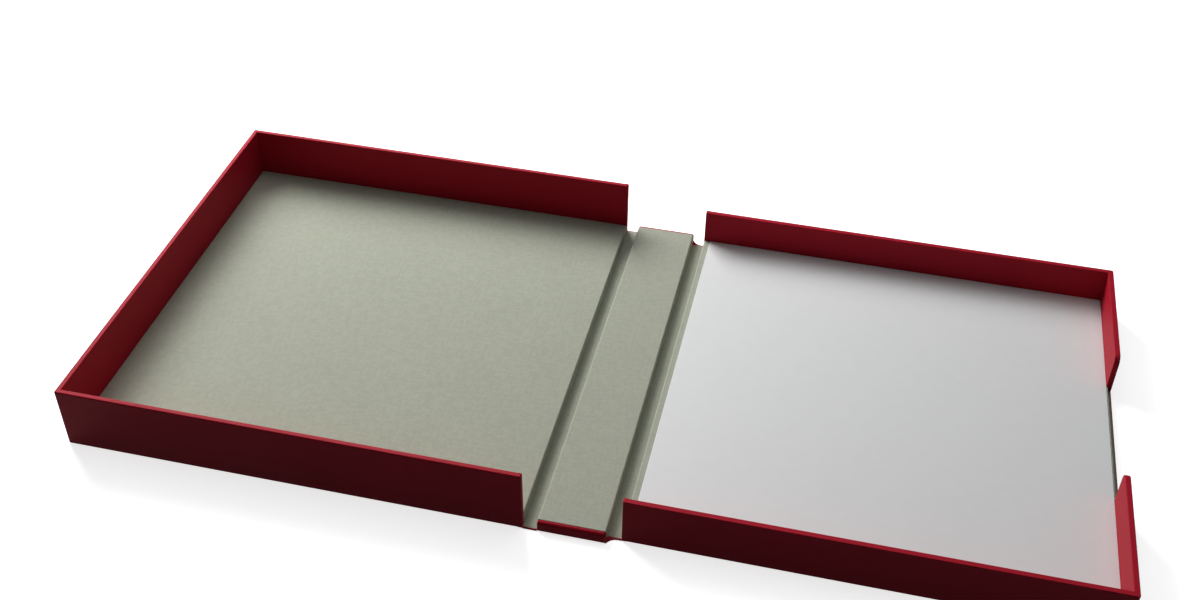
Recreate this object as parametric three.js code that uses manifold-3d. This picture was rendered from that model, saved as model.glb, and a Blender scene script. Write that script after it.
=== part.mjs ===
import * as THREE from 'three';
import { mergeVertices } from 'three/addons/utils/BufferGeometryUtils.js';
import Module from 'manifold-3d';

// A clamshell book box that lies open and flat. The outer tray is on the left, the spine in the
// middle and the smaller inner tray on the right. Millimetres, Z up, X from fore-edge to fore-edge,
// Y from tail to head. The origin is on the table, under the middle of the whole box.

// Driving dimensions
const outerWidth = 228.25;       // outer tray, from its fore-edge to its hinge edge
const outerLength = 230;         // outer tray and spine, from tail to head
const outerWallTop = 34.25;      // top of the outer tray's walls above the table
const caseBoard = 3;             // thickness of the two case boards
const trayBoard = 2.5;           // thickness of the two tray base boards
const wallBoard = 2;             // thickness of the wall boards
const cloth = 0.375;             // thickness of the covering cloth and of the lining cloth
const floorCard = 0.625;         // thickness of the card under the inner tray's white paper
const liningLap = 3.25;          // lining that shows along the inner tray's hinge edge
const spineMargin = 2;           // covering that shows at the head and the tail of the spine
const notchWidth = 78;           // finger notch in the inner tray's fore-edge wall
const notchRadius = 4;           // rounded top corners beside the notch
const notchCornerSteps = 8;      // facets of a rounded corner

// Clearances
const spineGap = 0.75;           // from each fold line to the edge of the spine
const closingClearance = 0.25;   // from the standing spine to a tray's edge when the box is closed
const tipClearance = 0.375;      // from the outer tray's wall tops to the table when closed
const sideClearance = 0.75;      // between the trays' head and tail walls when closed
const foreEdgeClearance = 2.75;  // between the trays' fore-edge walls when closed
const headroom = 2.125;          // over the inner tray's walls when closed

// Levels above the table
const caseTop = cloth + caseBoard;
const outerBaseTop = caseTop + trayBoard;
const outerFloor = outerBaseTop + cloth;
const spineBoardTop = outerBaseTop;
const spineTop = spineBoardTop + cloth;
const innerCaseLiningTop = caseTop + cloth;
const innerBaseTop = innerCaseLiningTop + trayBoard;
const innerLapTop = innerBaseTop + cloth;
const innerFloor = innerBaseTop + floorCard;

// The two fold lines run along Y in the middle of the joint cloths, and each turns by a right angle
const foldHeight = cloth;
const foldToTray = spineTop - foldHeight + closingClearance;
const foldSpan = outerWallTop + tipClearance - 2 * foldHeight;
const spineWidth = foldSpan - 2 * spineGap;
const closedThickness = foldSpan + 2 * foldHeight;

// Trays
const wall = wallBoard + 2 * cloth;
const innerWallTop = closedThickness - outerFloor - headroom;
const innerLength = outerLength - 2 * wall - 2 * sideClearance;
const innerWidth = outerWidth - wall - foreEdgeClearance;

// Places along X
const totalWidth = outerWidth + foldToTray + foldSpan + foldToTray + innerWidth;
const outerForeEdge = -totalWidth / 2;
const outerHinge = outerForeEdge + outerWidth;
const outerFold = outerHinge + foldToTray;
const spineLeft = outerFold + spineGap;
const spineRight = spineLeft + spineWidth;
const innerHinge = outerFold + foldSpan + foldToTray;
const innerForeEdge = innerHinge + innerWidth;

// Half lengths along Y
const outerEnd = outerLength / 2;
const innerEnd = innerLength / 2;
const liningEnd = outerEnd - spineMargin;

const finish = {
  covering: new THREE.MeshStandardMaterial({ color: 0xa81f2c, roughness: 0.5, metalness: 0 }),
  lining: new THREE.MeshStandardMaterial({ color: 0xa9ad9c, roughness: 0.85, metalness: 0 }),
  whitePaper: new THREE.MeshStandardMaterial({ color: 0xe4e4e6, roughness: 0.7, metalness: 0 }),
  board: new THREE.MeshStandardMaterial({ color: 0x8c8474, roughness: 0.9, metalness: 0 }),
};

const wasm = await Module();
wasm.setup();

const book = new THREE.Group();

function block(low, high) {
  const geometry = new THREE.BoxGeometry(high[0] - low[0], high[1] - low[1], high[2] - low[2]);
  return geometry.translate((low[0] + high[0]) / 2, (low[1] + high[1]) / 2, (low[2] + high[2]) / 2);
}

function solid(geometry) {
  const bare = geometry.clone();
  bare.deleteAttribute('normal');
  bare.deleteAttribute('uv');
  const merged = mergeVertices(bare);
  return new wasm.Manifold(new wasm.Mesh({
    numProp: 3,
    vertProperties: new Float32Array(merged.attributes.position.array),
    triVerts: new Uint32Array(merged.index.array),
  }));
}

function solidBlock(low, high) {
  return solid(block(low, high));
}

function toGeometry(body) {
  const mesh = body.getMesh();
  const geometry = new THREE.BufferGeometry();
  geometry.setAttribute('position', new THREE.BufferAttribute(mesh.vertProperties, 3));
  geometry.setIndex(new THREE.BufferAttribute(mesh.triVerts, 1));
  geometry.computeVertexNormals();
  return geometry;
}

function addPiece(name, geometry, material) {
  const mesh = new THREE.Mesh(geometry, material);
  mesh.name = name;
  book.add(mesh);
}

// Walls of a tray seen from above: a U that is open at the hinge edge. inset is how far its outer
// faces lie inside the tray's faces, and thickness is the U's own. hinge and foreEdge are X places.
function wallU({ hinge, foreEdge, end, inset, thickness, low, top }) {
  const inward = Math.sign(hinge - foreEdge);
  const outside = foreEdge + inward * inset;
  const inside = outside + inward * thickness;
  const mouth = hinge - inward * inset;
  const sort = (a, b) => [Math.min(a, b), Math.max(a, b)];
  const [x0, x1] = sort(outside, mouth);
  const [h0, h1] = sort(inside, hinge + inward * thickness);
  const full = solidBlock([x0, -end + inset, low], [x1, end - inset, top]);
  const hollowEnd = end - inset - thickness;
  return full.subtract(solidBlock([h0, -hollowEnd, low - thickness], [h1, hollowEnd, top + thickness]));
}

// The finger notch as a solid to cut with, along X: straight sides that flare out in a quarter
// round at the top of the wall. grow widens it for the boards inside the covering.
function notchCut(grow, top, bottom) {
  const half = notchWidth / 2 + grow;
  const radius = Math.min(notchRadius - grow, (top - bottom) / 2);
  const over = top + wall;
  const outline = new THREE.Shape();
  outline.moveTo(-half, bottom);
  outline.lineTo(half, bottom);
  outline.lineTo(half, top - radius);
  outline.absarc(half + radius, top - radius, radius, Math.PI, Math.PI / 2, true);
  outline.lineTo(half + radius, over);
  outline.lineTo(-half - radius, over);
  outline.lineTo(-half - radius, top);
  outline.absarc(-half - radius, top - radius, radius, Math.PI / 2, 0, true);
  outline.lineTo(-half, bottom);
  const depth = 4 * wall;
  const cut = new THREE.ExtrudeGeometry(outline, {
    depth, bevelEnabled: false, curveSegments: notchCornerSteps,
  });
  cut.rotateX(Math.PI / 2).rotateZ(Math.PI / 2);
  cut.translate(innerForeEdge - 2 * wall, 0, 0);
  return solid(cut);
}

function addOuterTray() {
  const tray = { hinge: outerHinge, foreEdge: outerForeEdge, end: outerEnd };
  const boardEdge = outerHinge - cloth;
  const wallFoot = caseTop;
  const boardTop = outerWallTop - cloth;
  const faceX = outerForeEdge + cloth;
  const faceY = outerEnd - cloth;
  const innerFaceX = faceX + wallBoard;
  const innerFaceY = faceY - wallBoard;

  addPiece('outer_board_cover',
    block([outerForeEdge, -outerEnd, 0], [outerHinge, outerEnd, cloth]), finish.covering);
  addPiece('outer_case_board',
    block([faceX, -faceY, cloth], [boardEdge, faceY, caseTop]), finish.board);
  addPiece('outer_tray_base',
    block([innerFaceX, -innerFaceY, caseTop], [boardEdge, innerFaceY, outerBaseTop]), finish.board);
  addPiece('outer_tail_wall',
    block([faceX, -faceY, wallFoot], [boardEdge, -innerFaceY, boardTop]), finish.board);
  addPiece('outer_head_wall',
    block([faceX, innerFaceY, wallFoot], [boardEdge, faceY, boardTop]), finish.board);
  addPiece('outer_fore_edge_wall',
    block([faceX, -innerFaceY, wallFoot], [innerFaceX, innerFaceY, boardTop]), finish.board);

  const skin = wallU({ ...tray, inset: 0, thickness: wall, low: cloth, top: outerWallTop });
  const boards = wallU({ ...tray, inset: cloth, thickness: wallBoard, low: cloth, top: boardTop });
  const underFloor = solidBlock([innerFaceX, -innerFaceY, 0], [boardEdge, innerFaceY, outerBaseTop]);
  addPiece('outer_wall_wrap', toGeometry(skin.subtract(boards).subtract(underFloor)), finish.covering);

  const liningY = outerEnd - wall;
  const floor = solidBlock([outerForeEdge + wall, -liningY, outerBaseTop], [outerHinge, liningY, outerFloor]);
  const edge = solidBlock([boardEdge, -liningY, cloth], [outerHinge, liningY, outerFloor]);
  addPiece('outer_floor_lining', toGeometry(floor.add(edge)), finish.lining);
}

function addSpine() {
  const boardEnd = outerEnd - cloth;
  const boardLow = [spineLeft + cloth, -boardEnd, cloth];
  const boardHigh = [spineRight - cloth, boardEnd, spineBoardTop];
  addPiece('spine_board', block(boardLow, boardHigh), finish.board);

  const under = solidBlock([spineLeft, -outerEnd, 0], [spineRight, outerEnd, cloth]);
  const tailCap = solidBlock([spineLeft, -outerEnd, 0], [spineRight, -liningEnd, spineTop]);
  const headCap = solidBlock([spineLeft, liningEnd, 0], [spineRight, outerEnd, spineTop]);
  const board = solidBlock(boardLow, boardHigh);
  addPiece('spine_cover', toGeometry(under.add(tailCap).add(headCap).subtract(board)), finish.covering);

  const skin = solidBlock([spineLeft, -liningEnd, cloth], [spineRight, liningEnd, spineTop]);
  addPiece('spine_lining', toGeometry(skin.subtract(board)), finish.lining);
}

// The covering cloth of the joint beside the inner tray is cut in a curve at both ends, from the
// long spine to the shorter tray.
function curvedJointCloth() {
  const outline = new THREE.Shape();
  outline.moveTo(spineRight, -outerEnd);
  outline.quadraticCurveTo(spineRight, -innerEnd, innerHinge, -innerEnd);
  outline.lineTo(innerHinge, innerEnd);
  outline.quadraticCurveTo(spineRight, innerEnd, spineRight, outerEnd);
  return new THREE.ExtrudeGeometry(outline, {
    depth: cloth, bevelEnabled: false, curveSegments: notchCornerSteps,
  });
}

function addJoints() {
  addPiece('outer_joint_cloth',
    block([outerHinge, -outerEnd, 0], [spineLeft, outerEnd, cloth]), finish.covering);
  addPiece('outer_joint_lining',
    block([outerHinge, -liningEnd, cloth], [spineLeft, liningEnd, 2 * cloth]), finish.lining);
  addPiece('inner_joint_cloth', curvedJointCloth(), finish.covering);
  const jointEnd = innerEnd - spineMargin;
  addPiece('inner_joint_lining',
    block([spineRight, -jointEnd, cloth], [innerHinge, jointEnd, 2 * cloth]), finish.lining);
}

function addInnerTray() {
  const tray = { hinge: innerHinge, foreEdge: innerForeEdge, end: innerEnd };
  const boardEdge = innerHinge + cloth;
  const wallFoot = innerCaseLiningTop;
  const boardTop = innerWallTop - cloth;
  const faceX = innerForeEdge - cloth;
  const faceY = innerEnd - cloth;
  const innerFaceX = faceX - wallBoard;
  const innerFaceY = faceY - wallBoard;
  const floorX = innerForeEdge - wall;
  const floorY = innerEnd - wall;

  addPiece('inner_board_cover',
    block([innerHinge, -innerEnd, 0], [innerForeEdge, innerEnd, cloth]), finish.covering);
  addPiece('inner_case_board',
    block([boardEdge, -faceY, cloth], [faceX, faceY, caseTop]), finish.board);
  addPiece('inner_case_lining',
    block([boardEdge, -faceY, caseTop], [faceX, faceY, innerCaseLiningTop]), finish.lining);
  addPiece('inner_tray_base',
    block([boardEdge, -innerFaceY, innerCaseLiningTop], [innerFaceX, innerFaceY, innerBaseTop]),
    finish.board);
  addPiece('inner_tail_wall',
    block([boardEdge, -faceY, wallFoot], [faceX, -innerFaceY, boardTop]), finish.board);
  addPiece('inner_head_wall',
    block([boardEdge, innerFaceY, wallFoot], [faceX, faceY, boardTop]), finish.board);

  const boardNotch = notchCut(cloth, boardTop, wallFoot - cloth);
  const foreEdgeWall = solidBlock([innerFaceX, -innerFaceY, wallFoot], [faceX, innerFaceY, boardTop]);
  const stubs = foreEdgeWall.subtract(boardNotch);
  const tailHalf = solidBlock([innerHinge, -innerEnd, 0], [innerForeEdge, 0, innerWallTop]);
  addPiece('inner_fore_edge_wall_tail', toGeometry(stubs.intersect(tailHalf)), finish.board);
  addPiece('inner_fore_edge_wall_head', toGeometry(stubs.subtract(tailHalf)), finish.board);

  const skin = wallU({ ...tray, inset: 0, thickness: wall, low: cloth, top: innerWallTop });
  const boards = wallU({ ...tray, inset: cloth, thickness: wallBoard, low: cloth, top: boardTop });
  const caseSpace = solidBlock([boardEdge, -faceY, 0], [faceX, faceY, innerCaseLiningTop]);
  const underFloor = solidBlock([boardEdge, -innerFaceY, 0], [innerFaceX, innerFaceY, innerBaseTop]);
  const wrap = skin.subtract(notchCut(0, innerWallTop, innerCaseLiningTop))
    .subtract(boards.subtract(boardNotch))
    .subtract(caseSpace)
    .subtract(underFloor);
  addPiece('inner_wall_wrap', toGeometry(wrap), finish.covering);

  const lap = solidBlock([innerHinge, -floorY, innerBaseTop], [innerHinge + liningLap, floorY, innerLapTop]);
  const edge = solidBlock([innerHinge, -floorY, cloth], [boardEdge, floorY, innerLapTop]);
  addPiece('inner_edge_lining', toGeometry(lap.add(edge)), finish.lining);
  addPiece('inner_floor_lining',
    block([innerHinge + liningLap, -floorY, innerBaseTop], [floorX, floorY, innerFloor]),
    finish.whitePaper);
}

addOuterTray();
addSpine();
addJoints();
addInnerTray();

export default book;
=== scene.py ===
"""A clamshell book box that lies open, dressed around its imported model."""

import math

import bmesh
import bpy
from mathutils import Matrix, Vector


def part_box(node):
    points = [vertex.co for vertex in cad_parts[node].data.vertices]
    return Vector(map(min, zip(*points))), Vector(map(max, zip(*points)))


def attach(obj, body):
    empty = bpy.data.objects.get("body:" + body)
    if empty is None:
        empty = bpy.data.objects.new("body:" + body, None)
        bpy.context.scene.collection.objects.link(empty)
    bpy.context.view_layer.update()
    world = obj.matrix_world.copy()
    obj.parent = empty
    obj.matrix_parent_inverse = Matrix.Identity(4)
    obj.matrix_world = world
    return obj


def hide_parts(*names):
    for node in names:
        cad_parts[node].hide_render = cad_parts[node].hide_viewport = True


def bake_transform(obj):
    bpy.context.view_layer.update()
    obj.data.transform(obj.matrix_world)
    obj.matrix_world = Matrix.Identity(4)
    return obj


bl_info = {
    "name": "Rigid Book Box",
    "version": (1, 0, 0),
    "blender": (4, 5, 0),
    "location": "3D View > Sidebar > Book Box",
    "description": "Covers and lines an open clamshell book box and sets up a plain studio",
    "category": "Object",
}

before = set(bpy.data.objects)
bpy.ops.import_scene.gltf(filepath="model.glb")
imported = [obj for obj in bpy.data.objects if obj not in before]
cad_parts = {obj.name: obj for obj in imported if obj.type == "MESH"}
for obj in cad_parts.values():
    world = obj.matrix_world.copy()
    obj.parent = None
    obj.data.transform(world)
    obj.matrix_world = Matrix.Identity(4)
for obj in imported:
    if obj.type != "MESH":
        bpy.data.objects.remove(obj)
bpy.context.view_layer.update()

MM = 0.001
PHOTO_WIDTH = 1200
PHOTO_HEIGHT = 600


def linear(hex_colour):
    """A colour written as sRGB hex, as the linear numbers that shaders take."""
    channels = [int(hex_colour[i:i + 2], 16) / 255 for i in (0, 2, 4)]
    return tuple(c / 12.92 if c <= 0.04045 else ((c + 0.055) / 1.055) ** 2.4 for c in channels)


def node_box(name):
    """The lowest and highest corner of a node, as plain lists in metres."""
    low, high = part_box(name)
    return list(low), list(high)


OUTER_COVER = node_box("outer_board_cover")
OUTER_WRAP = node_box("outer_wall_wrap")
OUTER_CASE = node_box("outer_case_board")
OUTER_BASE = node_box("outer_tray_base")
OUTER_TAIL_BOARD = node_box("outer_tail_wall")
OUTER_LINING = node_box("outer_floor_lining")
SPINE = node_box("spine_cover")
SPINE_BOARD = node_box("spine_board")
SPINE_LINING = node_box("spine_lining")
OUTER_JOINT = node_box("outer_joint_cloth")
OUTER_JOINT_LINING = node_box("outer_joint_lining")
INNER_JOINT = node_box("inner_joint_cloth")
INNER_JOINT_LINING = node_box("inner_joint_lining")
INNER_COVER = node_box("inner_board_cover")
INNER_WRAP = node_box("inner_wall_wrap")
INNER_CASE = node_box("inner_case_board")
INNER_CASE_LINING = node_box("inner_case_lining")
INNER_BASE = node_box("inner_tray_base")
INNER_TAIL_BOARD = node_box("inner_tail_wall")
INNER_STUB_BOARD = node_box("inner_fore_edge_wall_head")
INNER_EDGE_LINING = node_box("inner_edge_lining")
INNER_FLOOR = node_box("inner_floor_lining")

CLOTH = OUTER_COVER[1][2]
WALL_BOARD = OUTER_TAIL_BOARD[1][1] - OUTER_TAIL_BOARD[0][1]
WALL = WALL_BOARD + 2 * CLOTH

# Small forms of the finish
LAP_STEP = 0.2 * MM
NOTCH_ROUND = 4 * MM
NOTCH_FOLD = 0.3 * MM
NOTCH_CLEARANCE = 0.1 * MM
SHEET_RIM = 0.08 * MM
PAPER_EDGE = 0.18 * MM
SPINE_STEP = 0.2 * MM
HEM = 0.7 * MM
HEM_ROUND = 0.25 * MM
JOINT_CURL = 0.7 * MM
JOINT_CURL_ROUND = 0.95 * JOINT_CURL

# How the inner joint's cloth narrows towards its ends, across the joint
NARROWING = 3.5

# Face counts across a rounded edge, and along a joint
RIM_STEPS = 2
FINE_STEPS = 3
OUTER_CORNER_STEPS = 4
EDGE_STEPS = 5
FOLD_STEPS = 6
NOTCH_STEPS = 8
JOINT_STEPS = 24

# Tolerances of the modelling
CUT_OVERLAP = 0.02 * MM
SAME_PLACE = 0.01 * MM
DOUBLES = 0.002 * MM
FLAT_ANGLE = math.radians(0.2)
SMOOTH_ANGLE = math.radians(35)
SHARP_ANGLE = math.radians(40)
RIM_ANGLE = math.radians(60)
ALONG = 0.99
UPRIGHT = 0.9
NORMAL_WEIGHT = 80

# Sizes of the patterns, and the depth of their relief
CLOUD_SIZE = 35 * MM
COVERING_FIBRE = 0.35 * MM
GRAIN_DEPTH = 0.05 * MM
LINING_CLOUD_SIZE = 25 * MM
SLUB_LENGTH = 6 * MM
SLUB_WIDTH = 1.6 * MM
THREAD_DEPTH = 0.08 * MM
MOTTLE_SIZE = 6 * MM
PAPER_FIBRE = 0.8 * MM
PAPER_DEPTH = 0.03 * MM
SPECK_SIZE = 1.2 * MM
SPECK_DEPTH = 0.1 * MM
FLOOR_GRAIN = 4 * MM

# A band texture at a scale of 1 runs through this many radians in each unit of length
BAND_RADIANS = 20

BOARD_NODES = (
    "outer_case_board", "outer_tray_base", "outer_tail_wall", "outer_head_wall", "outer_fore_edge_wall",
    "inner_case_board", "inner_tray_base", "inner_tail_wall", "inner_head_wall",
    "inner_fore_edge_wall_tail", "inner_fore_edge_wall_head",
)

# The floor's size and glow, and its light on the box as a share of white. Each lamp has a name,
# a place, a target, a width, a height, a power and a colour.
FLOOR_DROP = 0.05 * MM
FLOOR_SIZE = 12
FLOOR_BOUNCE = 0.07
FLOOR_GLOW = 0.75
WORLD_FILL = 0.045
LAMPS = (
    ("key_softbox", (-0.60, 0.60, 0.62), (-0.08, 0, 0), 0.7, 0.5, 14.0, (1.0, 1.0, 0.99)),
    ("top_softbox", (0.05, 0.30, 1.2), (0, 0, 0), 0.9, 0.8, 3.0, (0.99, 0.995, 1.0)),
)

# The fitted camera: its place in millimetres, its right, down and forward axes, and its focal
# length and centre in pixels of the frame
CAMERA_PLACE = (105.72, -527.84, 506.35)
CAMERA_AXES = ((0.9753, 0.22021, 0.0172), (0.14962, -0.60136, -0.78485), (-0.16249, 0.76804, -0.61945))
CAMERA_FOCAL = 1415.68
CAMERA_CENTRE = (610.59, 245.07)
CAMERA_SENSOR = 36
CAMERA_NEAR = 0.01
CAMERA_FAR = 50


class BookBoxSizes(bpy.types.PropertyGroup):
    """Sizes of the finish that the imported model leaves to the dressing."""

    edge_round: bpy.props.FloatProperty(
        name="Edge round", description="Radius where the covering turns over a board's edge",
        default=0.65 * MM, unit="LENGTH")
    outer_corner_round: bpy.props.FloatProperty(
        name="Outer corner round", description="Radius of the outer tray's upright corners",
        default=0.9 * MM, unit="LENGTH")
    inner_corner_round: bpy.props.FloatProperty(
        name="Inner corner round", description="Radius of the inner tray's upright corners",
        default=1.1 * MM, unit="LENGTH")
    spine_round: bpy.props.FloatProperty(
        name="Spine round", description="Radius of the spine's long edges",
        default=1.0 * MM, unit="LENGTH")
    cap_round: bpy.props.FloatProperty(
        name="Cap round", description="Radius of the covering at the spine's head and tail",
        default=1.5 * MM, unit="LENGTH")
    core_round: bpy.props.FloatProperty(
        name="Core round", description="Radius of the upper edges of the spine's board",
        default=1.2 * MM, unit="LENGTH")
    fold_round: bpy.props.FloatProperty(
        name="Fold round", description="Radius where the lining folds over a tray's hinge edge",
        default=0.9 * MM, unit="LENGTH")
    turn_in: bpy.props.FloatProperty(
        name="Turn-in", description="Width of the covering that is folded over a wall's end",
        default=2.0 * MM, unit="LENGTH")
    turn_in_rise: bpy.props.FloatProperty(
        name="Turn-in rise", description="How far the folded covering stands proud",
        default=0.12 * MM, unit="LENGTH")
    grain_pitch: bpy.props.FloatProperty(
        name="Grain pitch", description="Spacing of the covering's pressed grain",
        default=0.7 * MM, unit="LENGTH")
    thread_pitch: bpy.props.FloatProperty(
        name="Thread pitch", description="Spacing of the lining's threads",
        default=0.8 * MM, unit="LENGTH")


class BookBoxColours(bpy.types.PropertyGroup):
    """Colours of the finishes."""

    covering: bpy.props.FloatVectorProperty(
        name="Covering", description="Red covering", subtype="COLOR", default=linear("aa1c2e"))
    lining: bpy.props.FloatVectorProperty(
        name="Lining", description="Grey-green lining", subtype="COLOR", default=linear("a9ad9c"))
    paper: bpy.props.FloatVectorProperty(
        name="White paper", description="Inner tray's floor", subtype="COLOR", default=linear("e0e1e2"))
    board: bpy.props.FloatVectorProperty(
        name="Board", description="Grey board", subtype="COLOR", default=linear("8c8474"))
    floor: bpy.props.FloatVectorProperty(
        name="Floor", description="White studio floor", subtype="COLOR", default=linear("fafafa"))


def sizes():
    return bpy.context.scene.book_box_sizes


def colours():
    return bpy.context.scene.book_box_colours


def clear_selection():
    """Leaves edit mode and deselects everything."""
    if bpy.context.mode != "OBJECT":
        bpy.ops.object.mode_set(mode="OBJECT")
    bpy.ops.object.select_all(action="DESELECT")


def select_only(piece):
    """Makes one piece the selected and active one."""
    clear_selection()
    piece.select_set(True)
    bpy.context.view_layer.objects.active = piece


def placed(name):
    """Names the new primitive and puts its place and scale into its mesh."""
    piece = bpy.context.active_object
    bpy.ops.object.transform_apply(location=True, rotation=True, scale=True)
    piece.name = name
    piece.data.name = name
    return piece


def add_block(name, low, high):
    """A box between two corners."""
    clear_selection()
    centre = [(a + b) / 2 for a, b in zip(low, high)]
    size = [b - a for a, b in zip(low, high)]
    bpy.ops.mesh.primitive_cube_add(size=1, location=centre, scale=size)
    return placed(name)


def add_sheet(name, low, high, height, columns=1):
    """A flat sheet at a height, split into columns of faces along X."""
    clear_selection()
    centre = ((low[0] + high[0]) / 2, (low[1] + high[1]) / 2, height)
    bpy.ops.mesh.primitive_grid_add(x_subdivisions=columns, y_subdivisions=1, size=1, location=centre)
    bpy.context.active_object.scale = (high[0] - low[0], high[1] - low[1], 1)
    return placed(name)


def pick(piece, kind, test):
    """Enters edit mode with the vertices, edges or faces selected that pass a test."""
    select_only(piece)
    bpy.ops.object.mode_set(mode="EDIT")
    bpy.ops.mesh.select_mode(type=kind)
    bpy.ops.mesh.select_all(action="DESELECT")
    shape = bmesh.from_edit_mesh(piece.data)
    group = {"VERT": shape.verts, "EDGE": shape.edges, "FACE": shape.faces}[kind]
    count = 0
    for element in group:
        if test(element):
            element.select_set(True)
            count += 1
    bmesh.update_edit_mesh(piece.data)
    if count == 0:
        raise RuntimeError(f"{piece.name}: nothing to work on was found")


def leave_edit_mode():
    bpy.ops.object.mode_set(mode="OBJECT")


def apply_modifier(piece, kind, **settings):
    """Adds a modifier, gives it its settings and applies it."""
    select_only(piece)
    bpy.ops.object.modifier_add(type=kind)
    modifier = piece.modifiers[-1]
    for key, value in settings.items():
        setattr(modifier, key, value)
    bpy.ops.object.modifier_apply(modifier=modifier.name)


def cut_away(piece, cutter):
    """Cuts the cutter's shape out of a piece, and deletes the cutter."""
    apply_modifier(piece, "BOOLEAN", operation="DIFFERENCE", solver="EXACT", object=cutter)
    bpy.data.objects.remove(cutter)


def cut_block(piece, low, high):
    cut_away(piece, add_block("cutter", low, high))


def merge_flat_faces(piece):
    """Joins neighbouring faces that lie in one plane, so that a bevel meets no stray edge."""
    pick(piece, "FACE", lambda face: True)
    bpy.ops.mesh.dissolve_limited(angle_limit=FLAT_ANGLE)
    leave_edit_mode()


def middle(edge):
    return (edge.verts[0].co + edge.verts[1].co) / 2


def near(a, b):
    return abs(a - b) < SAME_PLACE


def runs_along(edge, axis):
    """True for an edge that runs along the axis 0, 1 or 2."""
    along = edge.verts[1].co - edge.verts[0].co
    return abs(along[axis]) > ALONG * along.length


def bevel(piece, test, width, segments):
    """Rounds the edges that pass a test."""
    pick(piece, "EDGE", test)
    bpy.ops.mesh.bevel(
        offset=width, offset_type="OFFSET", segments=segments, profile=0.5, affect="EDGES",
        clamp_overlap=True)
    leave_edit_mode()


def sharp_and_convex(edge, angle=SHARP_ANGLE):
    return edge.is_manifold and edge.is_convex and edge.calc_face_angle(0) > angle


def finish_piece(piece, body, slot, material, *nodes):
    """Cleans and smooths a finished piece, gives it its material and ties it to its body, if it has one."""
    pick(piece, "VERT", lambda vertex: True)
    bpy.ops.mesh.remove_doubles(threshold=DOUBLES)
    bpy.ops.mesh.delete_loose()
    leave_edit_mode()
    select_only(piece)
    bpy.ops.object.shade_smooth_by_angle(angle=SMOOTH_ANGLE)
    apply_modifier(piece, "WEIGHTED_NORMAL", mode="FACE_AREA", weight=NORMAL_WEIGHT, keep_sharp=True)
    piece.data.materials.clear()
    piece.data.materials.append(material)
    if nodes:
        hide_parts(*nodes)
    if body:
        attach(piece, body)


def add_node(tree, kind, inputs=None, **settings):
    """Adds a shader node with its settings, and sets or links its inputs."""
    node = tree.nodes.new(kind)
    for key, value in settings.items():
        setattr(node, key, value)
    for socket, value in (inputs or {}).items():
        if isinstance(value, bpy.types.NodeSocket):
            tree.links.new(value, node.inputs[socket])
        else:
            node.inputs[socket].default_value = value
    return node


def new_material(name):
    """A material with only its output and shader, and the place on the object that its patterns read."""
    material = bpy.data.materials.get(name) or bpy.data.materials.new(name)
    material.use_nodes = True
    tree = material.node_tree
    tree.nodes.clear()
    shader = add_node(tree, "ShaderNodeBsdfPrincipled")
    add_node(tree, "ShaderNodeOutputMaterial", {"Surface": shader.outputs["BSDF"]})
    place = add_node(tree, "ShaderNodeTexCoord").outputs["Object"]
    return material, tree, shader, place


def tinted(colour, factor):
    return (*(min(1.0, c * factor) for c in colour), 1.0)


def mixed_colour(tree, factor, first, second):
    """A colour between two, led by a factor."""
    mix = add_node(tree, "ShaderNodeMix", {0: factor}, data_type="RGBA")
    mix.inputs[6].default_value = first
    mix.inputs[7].default_value = second
    return mix.outputs[2]


def covering_material():
    """Leatherette book covering: paper coated with acrylic and pressed with a fine grain.

    It has a low satin gloss, so its turned edges catch a thin line of light, and its colour is
    even, with a faint cloudiness.
    """
    material, tree, shader, place = new_material("red_leatherette_covering")
    red = colours().covering
    cloud = add_node(tree, "ShaderNodeTexNoise", {"Vector": place, "Scale": 1 / CLOUD_SIZE, "Detail": 3.0})
    tree.links.new(
        mixed_colour(tree, cloud.outputs["Fac"], tinted(red, 0.90), tinted(red, 1.10)),
        shader.inputs["Base Color"])
    grain = add_node(tree, "ShaderNodeTexVoronoi", {"Vector": place, "Scale": 1 / sizes().grain_pitch})
    fibre = add_node(tree, "ShaderNodeTexNoise", {
        "Vector": place, "Scale": 1 / COVERING_FIBRE, "Detail": 2.0})
    height = add_node(
        tree, "ShaderNodeMath", {0: grain.outputs["Distance"], 1: fibre.outputs["Fac"]}, operation="ADD")
    bump = add_node(tree, "ShaderNodeBump", {
        "Height": height.outputs["Value"], "Strength": 0.35, "Distance": GRAIN_DEPTH})
    tree.links.new(bump.outputs["Normal"], shader.inputs["Normal"])
    shader.inputs["Roughness"].default_value = 0.5
    shader.inputs["IOR"].default_value = 1.49
    shader.inputs["Specular IOR Level"].default_value = 0.07
    return material


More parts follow.
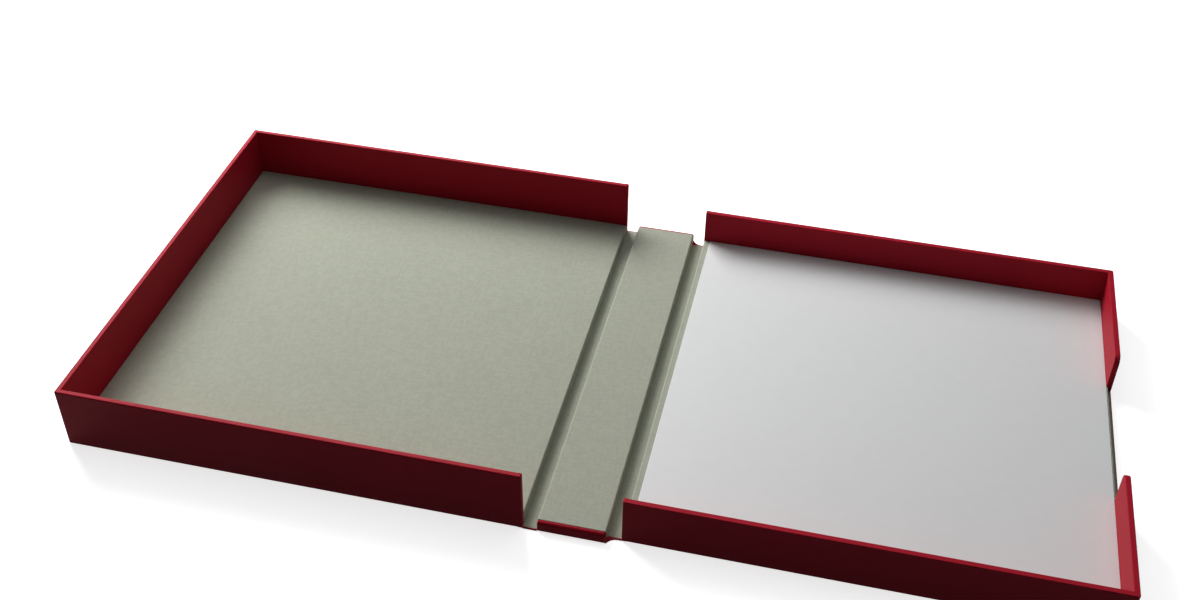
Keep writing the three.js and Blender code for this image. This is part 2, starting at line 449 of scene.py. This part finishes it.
def lining_material():
    """Grey-green book cloth, plain woven and backed with paper.

    Its threads are finer than the picture can show, so they are drawn a little coarser. It is
    matt, with a soft sheen at a low angle, and slubs make the colour vary by a few parts in a
    hundred.
    """
    material, tree, shader, place = new_material("grey_green_woven_lining")
    colour = colours().lining
    scale = 2 * math.pi / BAND_RADIANS / sizes().thread_pitch
    threads = [
        add_node(tree, "ShaderNodeTexWave", {
            "Vector": place, "Scale": scale, "Distortion": 1.2, "Detail": 2.0, "Detail Scale": 2.0},
            wave_type="BANDS", bands_direction=direction, wave_profile="SIN")
        for direction in ("X", "Y")
    ]
    weave = add_node(tree, "ShaderNodeMath", {
        0: threads[0].outputs["Fac"], 1: threads[1].outputs["Fac"]}, operation="MULTIPLY")
    slubs = []
    for long_way, short_way in ((0, 1), (1, 0)):
        stretch = [1.0, 1.0, 1.0]
        stretch[long_way] = 1 / SLUB_LENGTH
        stretch[short_way] = 1 / SLUB_WIDTH
        along = add_node(tree, "ShaderNodeMapping", {"Vector": place, "Scale": stretch})
        slubs.append(add_node(tree, "ShaderNodeTexNoise", {
            "Vector": along.outputs["Vector"], "Scale": 1.0, "Detail": 3.0}))
    both = add_node(tree, "ShaderNodeMath", {
        0: slubs[0].outputs["Fac"], 1: slubs[1].outputs["Fac"]}, operation="ADD")
    slub = add_node(tree, "ShaderNodeMapRange", {
        "Value": both.outputs["Value"], "From Min": 0.88, "From Max": 1.12})
    cloud = add_node(tree, "ShaderNodeTexNoise", {
        "Vector": place, "Scale": 1 / LINING_CLOUD_SIZE, "Detail": 3.0})
    cloudy = add_node(tree, "ShaderNodeMath", {
        0: slub.outputs["Result"], 1: cloud.outputs["Fac"]}, operation="ADD")
    halved = add_node(tree, "ShaderNodeMath", {0: cloudy.outputs["Value"], 1: 0.5}, operation="MULTIPLY")
    base = mixed_colour(tree, halved.outputs["Value"], tinted(colour, 0.72), tinted(colour, 1.32))
    dark_gaps = add_node(tree, "ShaderNodeMix", {0: weave.outputs["Value"], 7: base}, data_type="RGBA")
    dark_gaps.inputs[6].default_value = tinted(colour, 0.86)
    tree.links.new(dark_gaps.outputs[2], shader.inputs["Base Color"])
    bump = add_node(tree, "ShaderNodeBump", {
        "Height": weave.outputs["Value"], "Strength": 0.35, "Distance": THREAD_DEPTH})
    tree.links.new(bump.outputs["Normal"], shader.inputs["Normal"])
    shader.inputs["Roughness"].default_value = 0.85
    shader.inputs["Sheen Weight"].default_value = 0.15
    return material


def paper_material():
    """White calendered paper over thin card: smooth and faintly satin, with a soft fibre mottle."""
    material, tree, shader, place = new_material("white_calendered_paper")
    colour = colours().paper
    mottle = add_node(tree, "ShaderNodeTexNoise", {
        "Vector": place, "Scale": 1 / MOTTLE_SIZE, "Detail": 5.0})
    tree.links.new(
        mixed_colour(tree, mottle.outputs["Fac"], tinted(colour, 0.975), tinted(colour, 1.02)),
        shader.inputs["Base Color"])
    fibre = add_node(tree, "ShaderNodeTexNoise", {"Vector": place, "Scale": 1 / PAPER_FIBRE, "Detail": 3.0})
    bump = add_node(tree, "ShaderNodeBump", {
        "Height": fibre.outputs["Fac"], "Strength": 0.15, "Distance": PAPER_DEPTH})
    tree.links.new(bump.outputs["Normal"], shader.inputs["Normal"])
    shader.inputs["Roughness"].default_value = 0.5
    return material


def board_material():
    """Grey board, pressed from waste paper: matt, with dark and light specks."""
    material, tree, shader, place = new_material("pressed_grey_board")
    colour = colours().board
    speck = add_node(tree, "ShaderNodeTexNoise", {"Vector": place, "Scale": 1 / SPECK_SIZE, "Detail": 6.0})
    tree.links.new(
        mixed_colour(tree, speck.outputs["Fac"], tinted(colour, 0.75), tinted(colour, 1.2)),
        shader.inputs["Base Color"])
    bump = add_node(tree, "ShaderNodeBump", {
        "Height": speck.outputs["Fac"], "Strength": 0.4, "Distance": SPECK_DEPTH})
    tree.links.new(bump.outputs["Normal"], shader.inputs["Normal"])
    shader.inputs["Roughness"].default_value = 0.9
    return material


def fold_line_laps(piece, hinge, inward, top):
    """Raises the covering that is folded round the walls' hinge ends, with a narrow step."""
    lap = hinge + inward * sizes().turn_in
    step = lap + inward * LAP_STEP
    for place in (lap, step):
        pick(piece, "FACE", lambda face: True)
        bpy.ops.mesh.bisect(plane_co=(place, 0, 0), plane_no=(1, 0, 0))
        leave_edit_mode()

    def on_lap(face):
        centre = face.calc_center_median()
        if (centre.x - hinge) * inward >= sizes().turn_in:
            return False
        return abs(face.normal.z) < UPRIGHT or centre.z > top - sizes().edge_round

    pick(piece, "FACE", on_lap)
    bpy.ops.transform.shrink_fatten(value=sizes().turn_in_rise)
    leave_edit_mode()


def open_tray(name, low, high, hinge, inward, base_top):
    """A tray as one solid: three walls round a raised base that is open at the hinge."""
    tray = add_block(name, low, high)
    inside_low = [low[0] + WALL, low[1] + WALL, base_top]
    inside_high = [high[0] - WALL, high[1] - WALL, high[2] + WALL]
    if inward < 0:
        inside_high[0] = hinge + WALL
    else:
        inside_low[0] = hinge - WALL
    cut_block(tray, inside_low, inside_high)
    return tray


def round_turned_edges(tray, hinge, top, extra=None):
    """Rounds the covering at the top, round the outside of the bottom and at the hinge ends.

    extra is a test that names further edges to round.
    """

    def turned(edge):
        place = middle(edge)
        if not sharp_and_convex(edge):
            return False
        if near(place.x, hinge) and near(place.z, 0):
            return False
        at_hinge = runs_along(edge, 2) and near(place.x, hinge)
        return near(place.z, 0) or near(place.z, top) or at_hinge or bool(extra and extra(edge, place))

    bevel(tray, turned, sizes().edge_round, EDGE_STEPS)


def take_out_boards(tray, case, base_top, wall_low, wall_high, hinge, inward, mouth):
    """Takes the space of the flat boards, and of the lining at the hinge edge, out of a covered tray.

    Returns the wall boards as one shape, with which the tray is cut next.
    """
    low, high = case
    cut_block(tray, low, [high[0], high[1], wall_low + CUT_OVERLAP])
    inner_low = [low[0] + WALL_BOARD, low[1] + WALL_BOARD, low[2]]
    inner_high = [high[0] - WALL_BOARD, high[1] - WALL_BOARD, base_top + CUT_OVERLAP]
    if inward < 0:
        inner_high[0] = high[0]
    else:
        inner_low[0] = low[0]
    cut_block(tray, inner_low, inner_high)
    cut_block(
        tray, [hinge - WALL, -mouth, low[2]], [hinge + WALL, mouth, base_top + CUT_OVERLAP])
    ring = add_block("ring", [low[0], low[1], wall_low], [high[0], high[1], wall_high])
    ring_low = [inner_low[0], inner_low[1], wall_low - WALL]
    ring_high = [inner_high[0], inner_high[1], wall_high + WALL]
    if inward < 0:
        ring_high[0] = hinge + WALL
    else:
        ring_low[0] = hinge - WALL
    cut_block(ring, ring_low, ring_high)
    return ring


def outer_tray_covering():
    """The red covering of the outer tray, from one side of its walls over to the other."""
    low, high = OUTER_COVER[0], OUTER_WRAP[1]
    hinge, top = high[0], high[2]
    tray = open_tray("outer_tray_covering", low, high, hinge, -1, OUTER_BASE[1][2])
    bevel(
        tray, lambda e: runs_along(e, 2) and near(middle(e).x, low[0]),
        sizes().outer_corner_round, OUTER_CORNER_STEPS)
    round_turned_edges(tray, hinge, top)
    fold_line_laps(tray, hinge, -1, top)
    boards = take_out_boards(
        tray, OUTER_CASE, OUTER_BASE[1][2], OUTER_TAIL_BOARD[0][2], OUTER_TAIL_BOARD[1][2], hinge, -1,
        OUTER_LINING[1][1])
    cut_away(tray, boards)
    finish_piece(
        tray, "outer_tray", "covering", covering_material(), "outer_wall_wrap", "outer_board_cover")


def inner_tray_covering():
    """The red covering of the inner tray, cut away at the finger notch."""
    low, high = INNER_COVER[0], INNER_WRAP[1]
    hinge, top = low[0], high[2]
    notch_floor = INNER_CASE_LINING[1][2]
    half_notch = INNER_STUB_BOARD[0][1] - CLOTH
    tray = open_tray("inner_tray_covering", low, high, hinge, 1, INNER_BASE[1][2])
    edge = high[0]
    over = top + WALL
    cut_block(
        tray, [edge - WALL - CLOTH, -half_notch, INNER_BASE[1][2]], [edge + WALL, half_notch, over])
    cut_block(tray, [INNER_BASE[1][0], -half_notch, notch_floor], [edge + WALL, half_notch, over])
    merge_flat_faces(tray)

    def fore_edge_corner(e):
        at_corner = near(middle(e).x, edge) and abs(middle(e).y) > 2 * half_notch
        return runs_along(e, 2) and at_corner

    def notch_corner(e):
        return runs_along(e, 0) and near(abs(middle(e).y), half_notch) and near(middle(e).z, top)

    def stub_edge(e, place):
        at_notch = abs(place.y) < half_notch + NOTCH_ROUND + CLOTH and place.z > notch_floor + CLOTH
        return at_notch and not runs_along(e, 0)

    bevel(tray, fore_edge_corner, sizes().inner_corner_round, EDGE_STEPS)
    bevel(tray, notch_corner, NOTCH_ROUND, NOTCH_STEPS)
    round_turned_edges(tray, hinge, top, stub_edge)
    fold_line_laps(tray, hinge, 1, top)
    boards = take_out_boards(
        tray, INNER_CASE, INNER_BASE[1][2], INNER_TAIL_BOARD[0][2], INNER_TAIL_BOARD[1][2], hinge, 1,
        INNER_EDGE_LINING[1][1])
    half_gap = half_notch + CLOTH
    board_top = INNER_TAIL_BOARD[1][2]

    def board_corner(e):
        return runs_along(e, 0) and near(abs(middle(e).y), half_gap) and near(middle(e).z, board_top)

    cut_block(boards, [edge - WALL - CLOTH, -half_gap, notch_floor], [edge + WALL, half_gap, over])
    bevel(boards, board_corner, NOTCH_ROUND - CLOTH, NOTCH_STEPS)
    cut_away(tray, boards)
    finish_piece(
        tray, "inner_tray", "covering", covering_material(), "inner_wall_wrap", "inner_board_cover")


def folded_lining(name, low, high, hinge, foot, thickness, fold):
    """A sheet on a tray's floor that folds down over the hinge edge, with a rounded turn."""
    sheet = add_sheet(name, low, high, high[2])
    pick(sheet, "EDGE", lambda e: near(e.verts[0].co.x, hinge) and near(e.verts[1].co.x, hinge))
    bpy.ops.mesh.extrude_edges_move(TRANSFORM_OT_translate={"value": (0, 0, foot - high[2])})
    leave_edit_mode()
    round_folds(sheet, high[2], fold)
    give_thickness(sheet, thickness)
    return sheet


def round_folds(sheet, height, radius):
    """Rounds the long folds of an open sheet at a height."""

    def fold(edge):
        return not edge.is_boundary and near(middle(edge).z, height) and runs_along(edge, 1)

    bevel(sheet, fold, radius, FOLD_STEPS)


def give_thickness(sheet, thickness):
    """Turns an open sheet's faces up and gives it its thickness, downwards, with softened rims."""
    largest = max(sheet.data.polygons, key=lambda face: face.area)
    if largest.normal.z < 0:
        pick(sheet, "FACE", lambda face: True)
        bpy.ops.mesh.flip_normals()
        leave_edit_mode()
    apply_modifier(sheet, "SOLIDIFY", thickness=thickness, offset=-1, use_even_offset=True)
    bevel(sheet, lambda e: sharp_and_convex(e, RIM_ANGLE), SHEET_RIM, RIM_STEPS)


def outer_tray_lining():
    """The grey-green lining of the outer tray's floor and hinge edge."""
    low, high = OUTER_LINING
    lining = folded_lining("outer_tray_lining", low, high, high[0], low[2], CLOTH, sizes().fold_round)
    finish_piece(lining, "outer_tray", "lining", lining_material(), "outer_floor_lining")


def inner_tray_linings():
    """The linings of the inner tray's hinge edge and of its notch, and the white paper on its floor."""
    low, high = INNER_EDGE_LINING
    edge = folded_lining("inner_hinge_lining", low, high, low[0], low[2], CLOTH, sizes().fold_round)
    finish_piece(edge, "inner_tray", "lining", lining_material(), "inner_edge_lining")
    half = INNER_STUB_BOARD[0][1] - CLOTH - NOTCH_CLEARANCE
    strip_low = [INNER_FLOOR[1][0], -half, INNER_CASE_LINING[1][2]]
    strip_high = [INNER_BASE[1][0] + CLOTH, half, INNER_BASE[1][2] + CLOTH]
    strip = folded_lining(
        "notch_edge_lining", strip_low, strip_high, strip_high[0], strip_low[2], CLOTH, NOTCH_FOLD)
    finish_piece(strip, "inner_tray", "lining", lining_material())
    low, high = INNER_FLOOR
    paper = add_block("inner_floor_paper", low, high)
    bevel(paper, lambda e: near(middle(e).z, high[2]), PAPER_EDGE, FINE_STEPS)
    finish_piece(paper, "inner_tray", "white_paper", paper_material(), "inner_floor_lining")


def spine_core(name, low, high):
    """The spine's board, with its upper edges rubbed round."""
    core = add_block(name, low, high)
    bevel(
        core, lambda e: sharp_and_convex(e) and middle(e).z > low[2] + CLOTH,
        sizes().core_round, EDGE_STEPS)
    return core


def spine():
    """The spine: its board, covering under it and round its ends, and lining over its long edges."""
    low, high = SPINE
    top = high[2] - SPINE_STEP
    end = SPINE_LINING[1][1]
    covering = add_block("spine_covering", low, [high[0], high[1], top])
    bevel(
        covering, lambda e: sharp_and_convex(e) and near(middle(e).z, top),
        sizes().cap_round, EDGE_STEPS)
    bevel(
        covering, lambda e: sharp_and_convex(e) and abs(middle(e).y) > end,
        sizes().edge_round, FINE_STEPS)
    cut_block(covering, [low[0] - WALL, -end, CLOTH], [high[0] + WALL, end, high[2] + WALL])
    board_top = SPINE_BOARD[1][2] - SPINE_STEP
    core_low = SPINE_BOARD[0]
    core_high = [SPINE_BOARD[1][0], SPINE_BOARD[1][1], board_top]
    cut_away(covering, spine_core("cutter", core_low, core_high))
    finish_piece(covering, "spine", "covering", covering_material(), "spine_cover")
    core = spine_core("spine_core", core_low, [core_high[0], core_high[1], SPINE_BOARD[1][2]])
    finish_piece(core, "spine", "board", board_material(), "spine_board")
    low, high = SPINE_LINING
    sheet = add_sheet("spine_top_lining", low, high, high[2])
    pick(sheet, "EDGE", lambda e: runs_along(e, 1))
    bpy.ops.mesh.extrude_edges_move(TRANSFORM_OT_translate={"value": (0, 0, low[2] - high[2])})
    leave_edit_mode()
    round_folds(sheet, high[2], sizes().spine_round)
    give_thickness(sheet, CLOTH)
    finish_piece(sheet, "spine", "lining", lining_material(), "spine_lining")


def joint_covering(name, node, node_name, end_at, hem_from):
    """The covering across a joint, with its head and tail ends turned in as a raised hem.

    end_at gives the cloth's half length for a share of the way across the joint.
    """
    low, high = node
    strip = add_sheet(name, low, high, low[2], JOINT_STEPS)
    half = high[1]
    for column in range(JOINT_STEPS + 1):
        x = low[0] + (high[0] - low[0]) * column / JOINT_STEPS
        pick(strip, "VERT", lambda v: near(v.co.x, x))
        bpy.ops.transform.resize(
            value=(1, end_at(column / JOINT_STEPS) / half, 1), center_override=(x, 0, low[2]))
        leave_edit_mode()
    for side in (-1, 1):
        pick(strip, "FACE", lambda face: True)
        bpy.ops.mesh.bisect(plane_co=(0, side * hem_from, 0), plane_no=(0, 1, 0))
        leave_edit_mode()
    give_plain_thickness(strip, CLOTH, 1)
    pick(strip, "FACE", lambda f: f.normal.z > UPRIGHT and abs(f.calc_center_median().y) > hem_from)
    bpy.ops.mesh.extrude_region_move(TRANSFORM_OT_translate={"value": (0, 0, CLOTH)})
    leave_edit_mode()

    def hem_edge(e):
        on_top = near(middle(e).z, 2 * CLOTH) and sharp_and_convex(e)
        return on_top and abs(middle(e).y) > hem_from and not runs_along(e, 1)

    bevel(strip, hem_edge, HEM_ROUND, FINE_STEPS)
    finish_piece(strip, None, "covering", covering_material(), node_name)
    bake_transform(strip)


def give_plain_thickness(sheet, thickness, offset):
    """Turns an open sheet's faces up and gives it its thickness, with square rims."""
    if sheet.data.polygons[0].normal.z < 0:
        pick(sheet, "FACE", lambda face: True)
        bpy.ops.mesh.flip_normals()
        leave_edit_mode()
    apply_modifier(sheet, "SOLIDIFY", thickness=thickness, offset=offset)


def joint_lining(name, node, node_name, end):
    """The lining at the bottom of a joint, curled up where it meets the boards at both sides."""
    low = [node[0][0], -end, node[0][2]]
    high = [node[1][0], end, node[1][2]]
    strip = add_sheet(name, low, high, high[2], JOINT_STEPS)
    pick(strip, "EDGE", lambda e: e.is_boundary and runs_along(e, 1))
    bpy.ops.mesh.extrude_edges_move(TRANSFORM_OT_translate={"value": (0, 0, JOINT_CURL)})
    leave_edit_mode()

    def curl_edge(e):
        at_side = near(middle(e).x, low[0]) or near(middle(e).x, high[0])
        return not e.is_boundary and runs_along(e, 1) and near(middle(e).z, high[2]) and at_side

    bevel(strip, curl_edge, JOINT_CURL_ROUND, EDGE_STEPS)
    give_plain_thickness(strip, CLOTH, -1)
    finish_piece(strip, None, "lining", lining_material(), node_name)
    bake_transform(strip)


def joints():
    """The covering and the lining of both joints."""
    full = OUTER_JOINT[1][1]
    short = INNER_COVER[1][1]
    joint_covering(
        "outer_joint_covering", OUTER_JOINT, "outer_joint_cloth",
        lambda share: full, full - HEM)
    joint_covering(
        "inner_joint_covering", INNER_JOINT, "inner_joint_cloth",
        lambda share: short + (full - short) * (1 - share) ** NARROWING, short - HEM)
    joint_lining(
        "outer_groove_lining", OUTER_JOINT_LINING, "outer_joint_lining",
        full - HEM)
    joint_lining(
        "inner_groove_lining", INNER_JOINT_LINING, "inner_joint_lining",
        short - HEM)


def boards():
    """Gives the boards inside, and the lining on the inner case board, their finishes."""
    grey = board_material()
    for name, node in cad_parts.items():
        if name == "inner_case_lining":
            node.material_slots[0].material = lining_material()
        elif name in BOARD_NODES:
            node.material_slots[0].material = grey


def floor_material():
    """White seamless paper: matt, with a faint grain.

    It is white and glows only where the camera sees it, straight or through a reflection. To the
    box it is nearly black, so that it doesn't light the shaded sides.
    """
    material, tree, shader, place = new_material("white_seamless_paper")
    light_path = add_node(tree, "ShaderNodeLightPath")
    seen = add_node(tree, "ShaderNodeMath", {
        0: light_path.outputs["Is Camera Ray"], 1: light_path.outputs["Is Glossy Ray"]},
        operation="MAXIMUM")
    seen = add_node(tree, "ShaderNodeMath", {
        0: seen.outputs["Value"], 1: light_path.outputs["Is Transmission Ray"]}, operation="MAXIMUM")
    grain = add_node(tree, "ShaderNodeTexNoise", {"Vector": place, "Scale": 1 / FLOOR_GRAIN, "Detail": 2.0})
    white = mixed_colour(
        tree, grain.outputs["Fac"], tinted(colours().floor, 0.99), tinted(colours().floor, 1.01))
    mix = add_node(tree, "ShaderNodeMix", {0: seen.outputs["Value"], 7: white}, data_type="RGBA")
    mix.inputs[6].default_value = tinted(colours().floor, FLOOR_BOUNCE)
    tree.links.new(mix.outputs[2], shader.inputs["Base Color"])
    glow = add_node(tree, "ShaderNodeMath", {
        0: seen.outputs["Value"], 1: FLOOR_GLOW}, operation="MULTIPLY")
    tree.links.new(glow.outputs["Value"], shader.inputs["Emission Strength"])
    shader.inputs["Emission Color"].default_value = (1, 1, 1, 1)
    shader.inputs["Roughness"].default_value = 1.0
    shader.inputs["Specular IOR Level"].default_value = 0.0
    return material


def add_area_light(name, place, target, width, height, power, colour):
    """A soft box at a place that shines at a target."""
    clear_selection()
    bpy.ops.object.light_add(type="AREA", location=place)
    lamp = bpy.context.active_object
    lamp.name = name
    lamp.rotation_euler = (Vector(target) - Vector(place)).to_track_quat("-Z", "Y").to_euler()
    lamp.data.shape = "RECTANGLE"
    lamp.data.size = width
    lamp.data.size_y = height
    lamp.data.energy = power
    lamp.data.color = colour


def studio_floor():
    clear_selection()
    bpy.ops.mesh.primitive_plane_add(size=FLOOR_SIZE, location=(0, 0, -FLOOR_DROP))
    floor = bpy.context.active_object
    floor.name = "studio_floor"
    floor.data.materials.append(floor_material())


def studio_world():
    """A world that fills the shadows faintly, and is white where the camera sees past the floor."""
    world = bpy.data.worlds.get("studio_world") or bpy.data.worlds.new("studio_world")
    bpy.context.scene.world = world
    world.use_nodes = True
    tree = world.node_tree
    tree.nodes.clear()
    light_path = add_node(tree, "ShaderNodeLightPath")
    strength = add_node(tree, "ShaderNodeMath", {
        0: light_path.outputs["Is Camera Ray"], 1: 1 - WORLD_FILL, 2: WORLD_FILL},
        operation="MULTIPLY_ADD")
    background = add_node(tree, "ShaderNodeBackground", {
        "Color": (1, 1, 1, 1), "Strength": strength.outputs["Value"]})
    add_node(tree, "ShaderNodeOutputWorld", {"Surface": background.outputs["Background"]})


def studio_camera():
    clear_selection()
    bpy.ops.object.camera_add(location=[value * MM for value in CAMERA_PLACE])
    camera = bpy.context.active_object
    camera.name = "studio_camera"
    right, down, forward = (Vector(axis) for axis in CAMERA_AXES)
    turn = Matrix((right, -down, -forward)).transposed()
    camera.rotation_euler = turn.to_euler()
    camera.data.sensor_width = CAMERA_SENSOR
    camera.data.sensor_fit = "HORIZONTAL"
    camera.data.lens = CAMERA_FOCAL * CAMERA_SENSOR / PHOTO_WIDTH
    camera.data.shift_x = (PHOTO_WIDTH / 2 - CAMERA_CENTRE[0]) / PHOTO_WIDTH
    camera.data.shift_y = (CAMERA_CENTRE[1] - PHOTO_HEIGHT / 2) / PHOTO_WIDTH
    camera.data.clip_start = CAMERA_NEAR
    camera.data.clip_end = CAMERA_FAR
    bpy.context.scene.camera = camera


def studio():
    """A white floor, soft light from behind and above, and the camera."""
    studio_floor()
    for lamp in LAMPS:
        add_area_light(*lamp)
    studio_world()
    studio_camera()
    bpy.context.scene.view_settings.view_transform = "Standard"


class MakeOuterTrayCovering(bpy.types.Operator):
    """Makes the red covering of the outer tray"""

    bl_idname = "book_box.outer_tray_covering"
    bl_label = "Outer Tray Covering"

    def execute(self, context):
        outer_tray_covering()
        return {"FINISHED"}


class MakeOuterTrayLining(bpy.types.Operator):
    """Makes the grey-green lining of the outer tray"""

    bl_idname = "book_box.outer_tray_lining"
    bl_label = "Outer Tray Lining"

    def execute(self, context):
        outer_tray_lining()
        return {"FINISHED"}


class MakeSpine(bpy.types.Operator):
    """Makes the covering, the board and the lining of the spine"""

    bl_idname = "book_box.spine"
    bl_label = "Spine"

    def execute(self, context):
        spine()
        return {"FINISHED"}


class MakeJoints(bpy.types.Operator):
    """Makes the cloth and the lining of both joints"""

    bl_idname = "book_box.joints"
    bl_label = "Joints"

    def execute(self, context):
        joints()
        return {"FINISHED"}


class MakeInnerTrayCovering(bpy.types.Operator):
    """Makes the red covering of the inner tray, with its finger notch"""

    bl_idname = "book_box.inner_tray_covering"
    bl_label = "Inner Tray Covering"

    def execute(self, context):
        inner_tray_covering()
        return {"FINISHED"}


class MakeInnerTrayLinings(bpy.types.Operator):
    """Makes the folded linings and the white paper of the inner tray"""

    bl_idname = "book_box.inner_tray_linings"
    bl_label = "Inner Tray Linings"

    def execute(self, context):
        inner_tray_linings()
        return {"FINISHED"}


class FinishBoards(bpy.types.Operator):
    """Gives the boards inside the box, and the lining on the inner case board, their finishes"""

    bl_idname = "book_box.boards"
    bl_label = "Boards"

    def execute(self, context):
        boards()
        return {"FINISHED"}


class SetUpStudio(bpy.types.Operator):
    """Sets up the floor, the lights and the camera"""

    bl_idname = "book_box.studio"
    bl_label = "Studio"

    def execute(self, context):
        studio()
        return {"FINISHED"}


OPERATORS = (
    MakeOuterTrayCovering, MakeOuterTrayLining, MakeSpine, MakeJoints, MakeInnerTrayCovering,
    MakeInnerTrayLinings, FinishBoards, SetUpStudio,
)


class BOOKBOX_PT_panel(bpy.types.Panel):
    """Lists the steps that dress the book box"""

    bl_idname = "BOOKBOX_PT_panel"
    bl_label = "Rigid Book Box"
    bl_space_type = "VIEW_3D"
    bl_region_type = "UI"
    bl_category = "Book Box"

    def draw(self, context):
        for group in (context.scene.book_box_sizes, context.scene.book_box_colours):
            for name in group.bl_rna.properties.keys():
                if name not in ("name", "rna_type"):
                    self.layout.prop(group, name)
        for operator in OPERATORS:
            self.layout.operator(operator.bl_idname)


CLASSES = (BookBoxSizes, BookBoxColours, *OPERATORS, BOOKBOX_PT_panel)


def register():
    for each in CLASSES:
        bpy.utils.register_class(each)
    bpy.types.Scene.book_box_sizes = bpy.props.PointerProperty(type=BookBoxSizes)
    bpy.types.Scene.book_box_colours = bpy.props.PointerProperty(type=BookBoxColours)


def unregister():
    del bpy.types.Scene.book_box_colours
    del bpy.types.Scene.book_box_sizes
    for each in reversed(CLASSES):
        bpy.utils.unregister_class(each)


def main():
    register()
    bpy.ops.book_box.outer_tray_covering()
    bpy.ops.book_box.outer_tray_lining()
    bpy.ops.book_box.spine()
    bpy.ops.book_box.joints()
    bpy.ops.book_box.inner_tray_covering()
    bpy.ops.book_box.inner_tray_linings()
    bpy.ops.book_box.boards()
    bpy.ops.book_box.studio()


if __name__ == "__main__":
    main()
